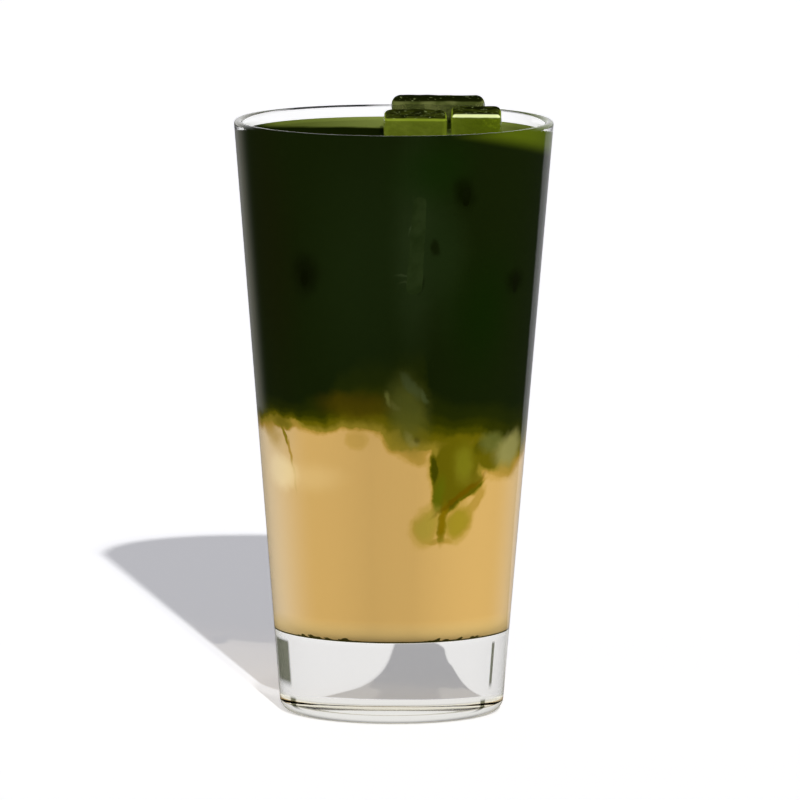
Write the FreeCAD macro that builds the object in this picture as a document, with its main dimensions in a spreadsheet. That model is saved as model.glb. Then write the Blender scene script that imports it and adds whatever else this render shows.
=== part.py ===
import FreeCAD, Part
import math
import os
import Sketcher
from FreeCAD import Placement, Rotation, Vector

# Matcha lemonade in a tall, heavy-based tumbler. Lengths are in millimetres and angles in degrees.
# The glass stands on Z = 0 with its axis on Z. The front of the drink faces -Y and its right side +X.

# Driving dimensions
GLASS_SIZES = {
    "glass_height": 155,
    "mouth_diameter": 83.4,
    "foot_diameter": 58,
    "rim_wall": 2.2,
    "rim_roundness": 0.47,
    "base_wall": 3,
    "floor_thickness": 21.2,
    "floor_fillet": 6,
    "heel_radius": 3,
    "foot_ring_width": 5,
    "punt_depth": 1.4,
}
DRINK_SIZES = {
    "level_below_rim": 3.9,
    "meniscus_rise": 0.8,
    "meniscus_run": 2.2,
    "fill_gap": 0.1,
    "layer_gap": 0.3,
    "lemonade_depth": 55.7,
    "ripple_height": 1.1,
    "drip_steepness": 3,
}
# The surface between the layers rises and falls round the glass in two waves: how many crests each has,
# how far it is turned, in radians, and its share of the ripple height.
RIPPLES = {
    "slow_wave": {"crests": 3, "turn": 0.6, "share": 1},
    "quick_wave": {"crests": 5, "turn": -1.1, "share": 0.6},
}
# The matcha sinks into the lemonade in drips: where each stands, seen from above and counted from the
# front towards the right, how far out it is as a share of the drink's radius, its radius and its depth.
DRIPS = {
    "tongue": {"angle": 30, "reach": 0.86, "radius": 8.4, "depth": 17},
    "right_lobe": {"angle": 29, "reach": 0.88, "radius": 4.4, "depth": 12},
    "left_lobe": {"angle": 12, "reach": 0.9, "radius": 4.6, "depth": 20},
    "shoulder": {"angle": 62, "reach": 0.8, "radius": 8, "depth": 9},
    "side_drip": {"angle": -72, "reach": 0.86, "radius": 5, "depth": 11},
    "back_tongue": {"angle": 172, "reach": 0.82, "radius": 8, "depth": 19},
    "back_drip": {"angle": -138, "reach": 0.86, "radius": 5.5, "depth": 14},
    "back_shoulder": {"angle": 122, "reach": 0.84, "radius": 6.5, "depth": 12},
}
ICE_SIZES = {
    "ice_height": 25,
    "ice_corner": 2.2,
    "ice_draft": 2,
    "ice_dish_radius": 20,
    "ice_dish_depth": 0.6,
    "ice_pocket_gap": 0.15,
    "ice_wall_gap": 1.2,
    "ice_spacing": 1.4,
    "ice_divide": 14.4,
    "ice_back_offset": 11.6,
}
# Three blocks of ice break the surface. Each has its width, its depth from front to back, how far its
# top stands above the drink, its turn about the vertical and its lean away from the front.
ICE_BLOCKS = {
    "ice_back": {"width": 24.4, "depth": 11.6, "rise": 7.9, "turn": -1.5, "lean": 1.2},
    "ice_right": {"width": 12.8, "depth": 20, "rise": 6.2, "turn": 1.5, "lean": 0.8},
    "ice_left": {"width": 16.2, "depth": 20, "rise": 5.3, "turn": -1.5, "lean": -0.8},
}
BLEND_GRID = 37

doc = FreeCAD.newDocument("MatchaLemonade")


# Sizes and the lengths that follow from them
def fill_sheet():
    """Puts every driving dimension in the spreadsheet, one alias to a row."""
    rows = {**GLASS_SIZES, **DRINK_SIZES, **ICE_SIZES}
    for group in (RIPPLES, DRIPS, ICE_BLOCKS):
        for name, sizes in group.items():
            rows.update({f"{name}_{key}": number for key, number in sizes.items()})
    sheet = doc.addObject("Spreadsheet::Sheet", "Sizes")
    for row, (alias, number) in enumerate(rows.items(), start=1):
        sheet.set(f"A{row}", alias)
        sheet.set(f"B{row}", str(number))
        sheet.setAlias(f"B{row}", alias)
    doc.recompute()
    return sheet


sizes = fill_sheet()


def number_of(expression):
    """The present value of an expression on the sheet."""
    return float(sizes.evalExpression(expression))


def outer_radius(height):
    """The glass's outer radius at a height, as an expression."""
    flare = "(Sizes.mouth_diameter - Sizes.foot_diameter) / 2 / Sizes.glass_height"
    return f"(Sizes.foot_diameter / 2 + {flare} * ({height}))"


FLOOR_RADIUS = f"({outer_radius('Sizes.floor_thickness')} - Sizes.base_wall)"
MOUTH_BORE = "(Sizes.mouth_diameter / 2 - Sizes.rim_wall)"


def bore_radius(height):
    """The inner radius of the glass at a height, as an expression."""
    rise = "(Sizes.glass_height - Sizes.floor_thickness)"
    return f"({FLOOR_RADIUS} + ({MOUTH_BORE} - {FLOOR_RADIUS}) * (({height}) - Sizes.floor_thickness) / {rise})"


LEVEL = "(Sizes.glass_height - Sizes.level_below_rim)"
MENISCUS_TOP = f"({LEVEL} + Sizes.meniscus_rise)"
FILL_FLOOR = "(Sizes.floor_thickness + Sizes.fill_gap)"
BLEND_LEVEL = "(Sizes.floor_thickness + Sizes.lemonade_depth)"


def fill_radius(height):
    """The drink's radius at a height, clear of the wall, as an expression."""
    return f"({bore_radius(height)} - Sizes.fill_gap)"


# Sketching
def plane_of(body, role):
    """The body's own origin plane of a given role."""
    return next(p for p in body.Origin.OriginFeatures if p.Role == role)


def new_sketch(body, name, role="XZ_Plane"):
    sketch = body.newObject("Sketcher::SketchObject", name)
    sketch.AttachmentSupport = (plane_of(body, role), [""])
    sketch.MapMode = "FlatFace"
    return sketch


def side_between(start, end, centre):
    """A straight side, or a short arc about centre, which a sketch always runs anticlockwise. The last
    two values say which end of the side is its start."""
    if centre is None:
        return Part.LineSegment(start, end), 1, 2
    first = math.atan2(start.y - centre.y, start.x - centre.x)
    last = math.atan2(end.y - centre.y, end.x - centre.x)
    circle = Part.Circle(centre, Vector(0, 0, 1), (start - centre).Length)
    if first < last:
        return Part.ArcOfCircle(circle, first, last), 1, 2
    return Part.ArcOfCircle(circle, last, first), 2, 1


def tie(sketch, kind, side, point, name, expression):
    """Holds one coordinate of a point of the sketch at an expression, or on an axis where it is zero."""
    value = number_of(expression)
    if value == 0:
        axis = -2 if kind == "DistanceX" else -1
        sketch.addConstraint(Sketcher.Constraint("PointOnObject", side, point, axis))
        return
    index = sketch.addConstraint(Sketcher.Constraint(kind, -1, 1, side, point, value))
    sketch.renameConstraint(index, name)
    sketch.setExpression(f"Constraints.{name}", expression)


def closed_outline(sketch, corners, arc_centres):
    """Draws a closed outline through named corners (across, up), both expressions. arc_centres gives the
    starting centre of each side that is an arc, by the name of the corner it starts from."""
    names = list(corners)
    points = {n: Vector(number_of(across), number_of(up), 0) for n, (across, up) in corners.items()}
    ends = []
    for i, name in enumerate(names):
        start, end = points[name], points[names[(i + 1) % len(names)]]
        side, first, last = side_between(start, end, arc_centres.get(name))
        ends.append((sketch.addGeometry(side, False), first, last))
    for i, name in enumerate(names):
        side, first, _ = ends[i]
        previous, _, last = ends[i - 1]
        sketch.addConstraint(Sketcher.Constraint("Coincident", previous, last, side, first))
        tie(sketch, "DistanceX", side, first, f"{name}_across", corners[name][0])
        tie(sketch, "DistanceY", side, first, f"{name}_up", corners[name][1])
    return {name: ends[i] for i, name in enumerate(names)}


def revolve(body, sketch, name):
    turned = body.newObject("PartDesign::Revolution", name)
    turned.Profile = sketch
    turned.ReferenceAxis = (sketch, ["V_Axis"])
    turned.Angle = 360
    doc.recompute()
    return turned


def ring_edges(feature, radius, height):
    """The names of the feature's circular edges about Z at a radius and height, both expressions."""
    wanted_radius, wanted_height = number_of(radius), number_of(height)
    near = 1e-4
    found = []
    for i, edge in enumerate(feature.Shape.Edges, start=1):
        if edge.Degenerated or not isinstance(edge.Curve, Part.Circle):
            continue
        curve = edge.Curve
        if abs(curve.Radius - wanted_radius) < near and abs(curve.Center.z - wanted_height) < near:
            found.append(f"Edge{i}")
    return found


def fillet(body, base, edges, name, radius):
    rounded = body.newObject("PartDesign::Fillet", name)
    rounded.Base = (base, edges)
    rounded.setExpression("Radius", radius)
    doc.recompute()
    return rounded


# The glass
def make_glass():
    """A revolved tumbler: straight flaring wall, thick solid base, shallow punt under it, and rounded
    heel, floor and rim."""
    body = doc.addObject("PartDesign::Body", "Glass")
    body.Label = "glass"
    sketch = new_sketch(body, "GlassOutline")
    punt_radius = "(Sizes.foot_diameter / 2 - Sizes.heel_radius - Sizes.foot_ring_width)"
    dome_radius = f"(({punt_radius}) ^ 2 + Sizes.punt_depth ^ 2) / 2 / Sizes.punt_depth"
    corners = {
        "punt_top": ("0", "Sizes.punt_depth"),
        "punt_edge": (punt_radius, "0"),
        "heel": ("Sizes.foot_diameter / 2", "0"),
        "rim_outside": ("Sizes.mouth_diameter / 2", "Sizes.glass_height"),
        "rim_inside": (MOUTH_BORE, "Sizes.glass_height"),
        "floor_edge": (FLOOR_RADIUS, "Sizes.floor_thickness"),
        "floor_middle": ("0", "Sizes.floor_thickness"),
    }
    dome_centre = Vector(0, number_of(f"Sizes.punt_depth - {dome_radius}"), 0)
    sides = closed_outline(sketch, corners, {"punt_top": dome_centre})
    dome = sides["punt_top"][0]
    sketch.addConstraint(Sketcher.Constraint("PointOnObject", dome, 3, -2))
    tumbler = revolve(body, sketch, "Tumbler")
    heel = ring_edges(tumbler, "Sizes.foot_diameter / 2", "0")
    tumbler = fillet(body, tumbler, heel, "Heel", "Sizes.heel_radius")
    floor = ring_edges(tumbler, FLOOR_RADIUS, "Sizes.floor_thickness")
    tumbler = fillet(body, tumbler, floor, "FloorCorner", "Sizes.floor_fillet")
    rim = ring_edges(tumbler, "Sizes.mouth_diameter / 2", "Sizes.glass_height")
    rim += ring_edges(tumbler, MOUTH_BORE, "Sizes.glass_height")
    fillet(body, tumbler, rim, "Rim", "Sizes.rim_wall * Sizes.rim_roundness")
    return body


# The drink
def make_fill():
    """All that the glass holds, up to the level and its meniscus, a hair clear of the wall."""
    body = doc.addObject("PartDesign::Body", "Fill")
    sketch = new_sketch(body, "FillOutline")
    edge = fill_radius(MENISCUS_TOP)
    curve_radius = "(Sizes.meniscus_rise ^ 2 + Sizes.meniscus_run ^ 2) / 2 / Sizes.meniscus_rise"
    corners = {
        "bottom": ("0", FILL_FLOOR),
        "corner": (fill_radius(FILL_FLOOR), FILL_FLOOR),
        "edge": (edge, MENISCUS_TOP),
        "surface": (f"{edge} - Sizes.meniscus_run", LEVEL),
        "middle": ("0", LEVEL),
    }
    centre = Vector(number_of(f"{edge} - Sizes.meniscus_run"), number_of(f"{LEVEL} + {curve_radius}"), 0)
    sides = closed_outline(sketch, corners, {"edge": centre})
    arc, _, arc_end = sides["edge"]
    sketch.addConstraint(Sketcher.Constraint("Vertical", arc, 3, arc, arc_end))
    fill = revolve(body, sketch, "FillSolid")
    corner = ring_edges(fill, fill_radius(FILL_FLOOR), FILL_FLOOR)
    fillet(body, fill, corner, "FillCorner", "Sizes.floor_fillet - Sizes.fill_gap")
    return body


def blend_height(x, y, radius):
    """How high the lemonade stands under a point: a rippled surface that the drips push down."""
    angle = math.atan2(x, -y)
    share = math.hypot(x, y) / radius
    height = number_of(BLEND_LEVEL)
    for name in RIPPLES:
        crests, turn = getattr(sizes, f"{name}_crests"), getattr(sizes, f"{name}_turn")
        swing = getattr(sizes, f"{name}_share") * math.cos(crests * angle + turn)
        height += sizes.ripple_height * share * swing
    for name in DRIPS:
        turn = math.radians(getattr(sizes, f"{name}_angle"))
        out = getattr(sizes, f"{name}_reach") * radius
        away = math.hypot(x - out * math.sin(turn), y + out * math.cos(turn))
        width = getattr(sizes, f"{name}_radius")
        height -= getattr(sizes, f"{name}_depth") * math.exp(-((away / width) ** sizes.drip_steepness))
    return height


def make_blend(name, drop):
    """The surface between the layers, let down by drop, as a smooth face wider than the glass."""
    radius = number_of(fill_radius(BLEND_LEVEL))
    reach = number_of("Sizes.mouth_diameter / 2")
    places = [reach * (2 * i / (BLEND_GRID - 1) - 1) for i in range(BLEND_GRID)]
    points = [[Vector(x, y, blend_height(x, y, radius) - drop) for y in places] for x in places]
    surface = Part.BSplineSurface()
    surface.interpolate(points)
    blend = doc.addObject("Part::Feature", name)
    blend.Shape = surface.toShape()
    return blend


def space_above(blend, name):
    """Everything over a blend surface, as far up as the glass goes."""
    space = doc.addObject("Part::Extrusion", name)
    space.Base = blend
    space.DirMode = "Custom"
    space.Dir = Vector(0, 0, 1)
    space.setExpression("LengthFwd", "Sizes.glass_height")
    space.Solid = True
    return space


# The ice
def make_block(name, block, grow):
    """A moulded block of ice hanging down from its top face, drafted and rounded. grow adds to it all
    round, which makes the pocket that it floats in."""
    body = doc.addObject("PartDesign::Body", name)
    sketch = new_sketch(body, f"{name}Outline", "XY_Plane")
    corners = {}
    for corner, across, up in (("a", -1, -1), ("b", 1, -1), ("c", 1, 1), ("d", -1, 1)):
        corners[corner] = (
            f"{across} * (Sizes.{block}_width / 2 + {grow})",
            f"{up} * (Sizes.{block}_depth / 2 + {grow})",
        )
    closed_outline(sketch, corners, {})
    moulded = body.newObject("PartDesign::Pad", f"{name}Block")
    moulded.Profile = sketch
    moulded.Reversed = True
    moulded.setExpression("Length", f"Sizes.ice_height + {grow}")
    moulded.setExpression("TaperAngle", "-Sizes.ice_draft")
    rounded = body.newObject("PartDesign::Fillet", f"{name}Corners")
    rounded.Base = (moulded, [""])
    rounded.UseAllEdges = True
    rounded.setExpression("Radius", f"Sizes.ice_corner + {grow}")
    doc.recompute()
    return body


def dish(body, name):
    """The shallow hollow that a moulded block freezes with in its top."""
    hollow = body.newObject("PartDesign::SubtractiveSphere", f"{name}Dish")
    hollow.setExpression("Radius", "Sizes.ice_dish_radius")
    hollow.setExpression("Placement.Base.z", "Sizes.ice_dish_radius - Sizes.ice_dish_depth")
    doc.recompute()


def block_places():
    """Where the middle of each block's top is. The back one stands against the wall, and the other two
    stand before it, either side of the divide between them."""
    foot = f"({LEVEL} + Sizes.ice_back_rise - Sizes.ice_height)"
    room = f"({bore_radius(foot)} - Sizes.ice_wall_gap)"
    corner = "(Sizes.ice_back_offset + Sizes.ice_back_width / 2)"
    rear = f"sqrt({room} ^ 2 - {corner} ^ 2)"
    front = f"({rear} - Sizes.ice_back_depth - Sizes.ice_spacing)"
    half = "Sizes.ice_spacing / 2"
    return {
        "ice_back": ("Sizes.ice_back_offset", f"{rear} - Sizes.ice_back_depth / 2"),
        "ice_right": (
            f"Sizes.ice_divide + {half} + Sizes.ice_right_width / 2",
            f"{front} - Sizes.ice_right_depth / 2",
        ),
        "ice_left": (
            f"Sizes.ice_divide - {half} - Sizes.ice_left_width / 2",
            f"{front} - Sizes.ice_left_depth / 2",
        ),
    }


def stand(body, block, place):
    """Turns and leans a block about the middle of its top, and ties that point to its place."""
    turn = Rotation(Vector(0, 0, 1), number_of(f"Sizes.{block}_turn"))
    lean = Rotation(Vector(1, 0, 0), number_of(f"Sizes.{block}_lean"))
    body.Placement = Placement(Vector(), turn.multiply(lean))
    body.setExpression("Placement.Base.x", place[0])
    body.setExpression("Placement.Base.y", place[1])
    body.setExpression("Placement.Base.z", f"{LEVEL} + Sizes.{block}_rise")


def make_ice():
    """The blocks, and the pockets for them in the drink."""
    blocks, pockets = [], []
    for block, place in block_places().items():
        title = block.title().replace("_", "")
        ice = make_block(title, block, "0")
        dish(ice, title)
        ice.Label = block
        pocket = make_block(f"{title}Pocket", block, "Sizes.ice_pocket_gap")
        for body in (ice, pocket):
            stand(body, block, place)
        blocks.append(ice)
        pockets.append(pocket)
    return blocks, pockets


def make_layers(fill, pockets):
    """The two layers: lemonade below the blend, and matcha above it, cut round the ice."""
    over_blend = space_above(make_blend("Blend", 0), "OverBlend")
    lower_blend = space_above(make_blend("LowerBlend", sizes.layer_gap), "OverLowerBlend")
    lemonade = doc.addObject("Part::Cut", "Lemonade")
    lemonade.Base = fill
    lemonade.Tool = lower_blend
    lemonade.Label = "lemonade"
    upper = doc.addObject("Part::Common", "UpperFill")
    upper.Base = fill
    upper.Tool = over_blend
    iced = doc.addObject("Part::MultiFuse", "IcePockets")
    iced.Shapes = pockets
    matcha = doc.addObject("Part::Cut", "Matcha")
    matcha.Base = upper
    matcha.Tool = iced
    matcha.Label = "matcha"
    return [lemonade, matcha]


glass = make_glass()
ice_blocks, ice_pockets = make_ice()
layers = make_layers(make_fill(), ice_pockets)
nodes = [glass, *layers, *ice_blocks]
doc.recompute()

for item in doc.Objects:
    if "Invalid" in item.State or "Error" in item.State:
        raise RuntimeError(f"{item.Label} did not build: {item.State}")
for node in nodes:
    if node.Shape.isNull() or not node.Shape.isValid() or len(node.Shape.Solids) != 1:
        raise RuntimeError(f"{node.Label} is not one valid solid")

os.makedirs("parts", exist_ok=True)
for node in nodes:
    node.Shape.exportStep(f"parts/{node.Label}.step")
    print(f"{node.Label}: {node.Shape.Volume / 1000:.2f} cubic centimetres")
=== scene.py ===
# %% [markdown]
# # Matcha lemonade in its glass
# A tall clear tumbler holds two layers: pale lemonade below, and dark matcha that sinks into it in
# cloudy drips. Blocks of ice stand in the matcha and break its surface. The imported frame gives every
# piece its place, and this lesson gives the pieces their finish and adds what is too fine for the frame.

# %% Load the frame
import math

import bpy
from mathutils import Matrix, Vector


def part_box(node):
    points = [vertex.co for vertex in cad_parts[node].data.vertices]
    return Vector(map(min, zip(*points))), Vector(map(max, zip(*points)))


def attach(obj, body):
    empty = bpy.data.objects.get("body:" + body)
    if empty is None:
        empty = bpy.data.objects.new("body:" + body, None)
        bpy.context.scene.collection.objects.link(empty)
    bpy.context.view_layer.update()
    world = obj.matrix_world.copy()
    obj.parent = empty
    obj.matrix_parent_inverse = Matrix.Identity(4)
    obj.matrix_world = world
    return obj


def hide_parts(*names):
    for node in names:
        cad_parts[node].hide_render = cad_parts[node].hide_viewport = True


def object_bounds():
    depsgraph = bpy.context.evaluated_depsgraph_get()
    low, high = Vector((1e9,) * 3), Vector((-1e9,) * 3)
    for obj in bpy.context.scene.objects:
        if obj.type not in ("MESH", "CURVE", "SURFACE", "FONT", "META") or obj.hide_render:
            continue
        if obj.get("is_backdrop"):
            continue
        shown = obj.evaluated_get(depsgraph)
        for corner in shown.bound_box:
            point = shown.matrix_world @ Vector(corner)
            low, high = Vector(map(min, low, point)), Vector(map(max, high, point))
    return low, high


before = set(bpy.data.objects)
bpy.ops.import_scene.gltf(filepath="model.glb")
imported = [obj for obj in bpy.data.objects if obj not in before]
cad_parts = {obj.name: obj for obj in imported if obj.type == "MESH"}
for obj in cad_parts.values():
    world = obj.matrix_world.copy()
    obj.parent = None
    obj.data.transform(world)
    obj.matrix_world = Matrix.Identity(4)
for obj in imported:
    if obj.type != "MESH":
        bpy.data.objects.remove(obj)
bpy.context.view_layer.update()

MM = 0.001

# %% [markdown]
# ## Small helpers
# A node tree reads best when each step takes one line. The class below adds a node, sets its inputs from
# numbers or from other nodes' outputs, and hands back the output. Colours are written as a maker reads
# them from a paint card, from 0 to 255, and turned into the linear values that the shaders use.


# %% Colour and node helpers
def paint(red, green, blue):
    """A paint-card colour as the linear colour that a shader takes."""
    def linear(level):
        level /= 255
        return level / 12.92 if level <= 0.04045 else ((level + 0.055) / 1.055) ** 2.4
    return (linear(red), linear(green), linear(blue), 1)


class Tree:
    """Builds one node tree, a line to a node."""

    def __init__(self, tree):
        self.tree = tree

    def feed(self, socket, value):
        """Joins a socket to another node's output, or sets it to a plain value."""
        if isinstance(value, bpy.types.NodeSocket):
            self.tree.links.new(value, socket)
        else:
            socket.default_value = value

    def add(self, kind, inputs=None, **settings):
        """A new node with its settings and inputs."""
        node = self.tree.nodes.new("ShaderNode" + kind)
        for name, value in settings.items():
            setattr(node, name, value)
        for name, value in (inputs or {}).items():
            self.feed(node.inputs[name], value)
        return node

    def math(self, operation, *values):
        return self.add("Math", dict(enumerate(values)), operation=operation).outputs[0]

    def vector(self, operation, *values):
        return self.add("VectorMath", dict(enumerate(values)), operation=operation).outputs[0]

    def scaled(self, vector, amount):
        return self.add("VectorMath", {0: vector, "Scale": amount}, operation="SCALE").outputs[0]

    def step(self, value, start, end, low=0.0, high=1.0):
        """A smooth step from low at start to high at end."""
        ends = {"Value": value, "From Min": start, "From Max": end, "To Min": low, "To Max": high}
        return self.add("MapRange", ends, interpolation_type="SMOOTHSTEP").outputs[0]

    def between(self, value, start, full, last, end):
        """1 where a value lies from full to last, easing to 0 at start and at end."""
        return self.math("MULTIPLY", self.step(value, start, full), self.step(value, end, last))

    def mix(self, amount, first, second):
        """Goes from one colour to the other."""
        return self.add("Mix", {0: amount, 6: first, 7: second}, data_type="RGBA").outputs[2]

    def by_side(self, aside, left, right):
        """One value where aside is negative, the other where it is positive."""
        return self.add("Mix", {0: self.math("GREATER_THAN", aside, 0.0), 2: left, 3: right}).outputs[0]

    def noise(self, place, scale, detail=2.0, output="Fac"):
        return self.add("TexNoise", {"Vector": place, "Scale": scale, "Detail": detail}).outputs[output]

    def ramp(self, value, stops):
        """A colour ramp through (position, colour) stops, eased between them."""
        node = self.add("ValToRGB", {0: value})
        node.color_ramp.interpolation = "EASE"
        elements = node.color_ramp.elements
        while len(elements) < len(stops):
            elements.new(0.5)
        for element, (position, colour) in zip(elements, stops):
            element.position = position
            element.color = colour
        return node.outputs[0]


def new_group(name, inputs, outputs):
    """A node group with named sockets: the group, its tree, its inputs and the node for its outputs."""
    group = bpy.data.node_groups.new(name, "ShaderNodeTree")
    for way, sockets in (("INPUT", inputs), ("OUTPUT", outputs)):
        for socket, kind in sockets.items():
            group.interface.new_socket(socket, in_out=way, socket_type="NodeSocket" + kind)
    tree = Tree(group)
    entry = group.nodes.new("NodeGroupInput").outputs
    leave = group.nodes.new("NodeGroupOutput")
    return group, tree, entry, leave


def place_group(tree, group, inputs):
    """Puts a group in a tree with its own values."""
    node = tree.add("Group", node_tree=group)
    for name, value in inputs.items():
        tree.feed(node.inputs[name], value)
    return node.outputs


def new_material(name):
    """An empty material's tree, and its output node."""
    material = bpy.data.materials.new(name)
    material.use_nodes = True
    material.node_tree.nodes.clear()
    tree = Tree(material.node_tree)
    return material, tree, tree.add("OutputMaterial").inputs["Surface"]


def principled(tree, inputs):
    return tree.add("BsdfPrincipled", inputs).outputs[0]


def object_place(tree):
    """Where a point of the piece is, in millimetres."""
    return tree.scaled(tree.add("TexCoord").outputs["Object"], 1 / MM)


# %% [markdown]
# ## Camera
# The drink is seen from a long way off and a little above, which keeps the glass's sides almost straight
# up. A long lens from 3 metres does that. Nothing is shifted: the camera stands where it frames the glass.

# %% Camera
VIEW_DISTANCE = 3.0
VIEW_HEIGHT = 0.461
AIM_HEIGHT = 0.0815
AIM_ASIDE = 0.0019
LENS = 521
ROLL = math.radians(0.23)
VIEW_END = 100


def make_camera():
    stand = Vector((AIM_ASIDE, -VIEW_DISTANCE, VIEW_HEIGHT))
    aim = Vector((AIM_ASIDE, 0, AIM_HEIGHT))
    bpy.ops.object.camera_add(location=stand)
    camera = bpy.context.object
    camera.rotation_euler = (aim - stand).to_track_quat("-Z", "Y").to_euler()
    camera.rotation_euler.rotate_axis("Z", ROLL)
    camera.data.lens = LENS
    camera.data.clip_end = VIEW_END
    bpy.context.scene.camera = camera
    print("camera at", [round(v, 3) for v in stand])


make_camera()

# %% [markdown]
# ## Lamps
# The real drink stands in low sun, which throws one long shadow with a crisp edge. An area lamp could do
# it, but its shadow would spread, so one distant lamp stands for the sun, in front and a little to the
# right. White surroundings also light a drink from both sides. Two level wash lamps do that here. They cast
# no shadow, because the only shadow on the floor is the sun's, and they don't show in anything glossy.

# %% Lamps
SUN_ASIDE = math.radians(8.5)
SUN_ABOVE = math.radians(27.3)
SUN_STRENGTH = 2.2
WASH_ASIDE = math.radians(100)
WASH_ABOVE = math.radians(2)
WASH_STRENGTH = 1.76
LAMP_WIDTH = math.radians(0.7)


def make_lamp(name, aside, above, strength, shadow):
    """A distant lamp by its angles from straight in front, unseen through the glass."""
    bpy.ops.object.light_add(type="SUN")
    lamp = bpy.context.object
    lamp.name = name
    away = math.cos(above)
    to_lamp = Vector((math.sin(aside) * away, -math.cos(aside) * away, math.sin(above)))
    lamp.rotation_euler = to_lamp.to_track_quat("Z", "Y").to_euler()
    lamp.data.energy = strength
    lamp.data.angle = LAMP_WIDTH
    lamp.data.use_shadow = shadow
    lamp.visible_transmission = False
    lamp.visible_glossy = shadow
    print(name, "points to", [round(v, 2) for v in -to_lamp], "at strength", strength)


make_lamp("sun", SUN_ASIDE, SUN_ABOVE, SUN_STRENGTH, True)
make_lamp("left_wash", -WASH_ASIDE, WASH_ABOVE, WASH_STRENGTH, False)
make_lamp("right_wash", WASH_ASIDE, WASH_ABOVE, WASH_STRENGTH, False)

# %% [markdown]
# ## White set
# A drink in clear glass shows its surroundings three ways, and each has its own level here. What the eye
# meets directly or through the glass is white, apart from a duller ceiling that gives the base its greys.
# What lights the drink is an even, plain fill, because only rays that haven't met a matt surface yet see
# the white. A mirrored ray meets a dark room with a bright backdrop straight behind the glass, so that the
# dark drink stays deep and the glass still ends in a pale line. The floor does the same where a mirrored
# ray lands on it: only a wedge straight behind the glass is bright. More lamps could draw that line too,
# but they would also wash out the drink's own colours.

# %% World
FILL = (0.263, 0.263, 0.282, 1)
# a direction's height above the horizon, from 0 to 1, where the ceiling starts and where it is dullest
CEILING_FROM = math.sin(math.radians(14))
CEILING_FULL = math.sin(math.radians(40))
CEILING = 0.4
ROOM = 0.03
BACKDROP = 1.0
# how straight back a mirrored ray goes, from 0 to 1, where the backdrop starts and where it is full
BACKDROP_FROM = 0.45
BACKDROP_FULL = 0.9
# the backdrop's top edge, as a direction's height above the horizon
BACKDROP_EDGE = 0.4
BACKDROP_END = 0.5


def first_seen(tree):
    """1 on rays that come from the camera with at most glass on their way, otherwise 0."""
    path = tree.add("LightPath").outputs
    clear = tree.math("MAXIMUM", path["Is Glossy Ray"], path["Is Transmission Ray"])
    clear = tree.math("MAXIMUM", clear, path["Is Camera Ray"])
    return tree.math("MULTIPLY", clear, tree.math("LESS_THAN", path["Diffuse Depth"], 0.5))


def make_world():
    world = bpy.data.worlds.new("soft_white")
    world.use_nodes = True
    world.node_tree.nodes.clear()
    tree = Tree(world.node_tree)
    fill = tree.add("Background", {"Color": FILL, "Strength": 1.0}).outputs[0]
    direction = tree.add("SeparateXYZ", {0: tree.add("TexCoord").outputs["Generated"]}).outputs
    back, up = direction[1], direction[2]
    path = tree.add("LightPath").outputs
    ceiling = tree.step(up, CEILING_FROM, CEILING_FULL, 1.0, CEILING)
    backdrop = tree.step(up, BACKDROP_END, BACKDROP_EDGE, ROOM, BACKDROP)
    backdrop = tree.math("MULTIPLY", tree.step(back, BACKDROP_FROM, BACKDROP_FULL), backdrop)
    mirrored = tree.math("SUBTRACT", 1.0 + ROOM, path["Is Reflection Ray"])
    level = tree.math("MINIMUM", ceiling, tree.math("MAXIMUM", backdrop, mirrored))
    level = tree.math("MAXIMUM", level, path["Is Camera Ray"])
    white = tree.add("Background", {"Color": (1, 1, 1, 1), "Strength": level}).outputs[0]
    shown = tree.add("MixShader", {0: first_seen(tree), 1: fill, 2: white}).outputs[0]
    tree.feed(tree.add("OutputWorld").inputs["Surface"], shown)
    bpy.context.scene.world = world
    print("world:", world.name, "with a fill of", FILL[:3])


make_world()

# %% Floor
FLOOR_HALF = 60
# the floor's paint as it lights the drink, and as the eye sees it in the sun
FLOOR_OWN = 0.8
FLOOR_SHOWN = 1.62
# how straight behind the glass a mirrored ray lands, from 0 to 1: where the bright wedge starts, where it
# is full, and its level
WEDGE_RIGHT = (0.77, 0.83, 0.62)
WEDGE_LEFT = (0.84, 1.0, 0.3)


def wedge(tree):
    """How bright a mirrored ray finds the floor, by how straight behind the glass it lands."""
    place = tree.add("SeparateXYZ", {0: tree.vector("NORMALIZE", object_place(tree))}).outputs
    right, left = (
        tree.step(place[1], start, full, ROOM, level)
        for start, full, level in (WEDGE_RIGHT, WEDGE_LEFT)
    )
    return tree.by_side(place[0], left, right)


def make_floor():
    """A wide matt floor that shows white but lights the drink as a pale grey one would."""
    bpy.ops.mesh.primitive_plane_add(size=2 * FLOOR_HALF)
    floor = bpy.context.object
    floor.name = "floor"
    material, tree, surface = new_material("white_floor")
    own, shown = ((level, level, level, 1) for level in (FLOOR_OWN, FLOOR_SHOWN))
    mirrored = tree.add("LightPath").outputs["Is Reflection Ray"]
    shown = tree.mix(mirrored, shown, wedge(tree))
    colour = tree.mix(first_seen(tree), own, shown)
    tree.feed(surface, tree.add("BsdfDiffuse", {"Color": colour}).outputs[0])
    floor.data.materials.append(material)
    floor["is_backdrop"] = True
    print("floor:", 2 * FLOOR_HALF, "m wide")


make_floor()
bpy.context.scene.view_settings.view_transform = "Standard"

# %% [markdown]
# ## Shaping helpers
# Each new piece starts as a primitive and is shaped in edit mode, as by hand. Operators act on what is
# selected, so the first helper leaves one piece selected, and the second picks its faces or edges by
# their place. Two more apply its modifiers and give it its smooth shading, its material and its place under
# the frame's root body. The last modifier evens out the normals, large faces first, so that flat walls bend
# light as flat ones do.

# %% Shaping helpers
SMOOTH_UNDER = math.radians(32)
LARGE_FACE_WEIGHT = 90


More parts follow.
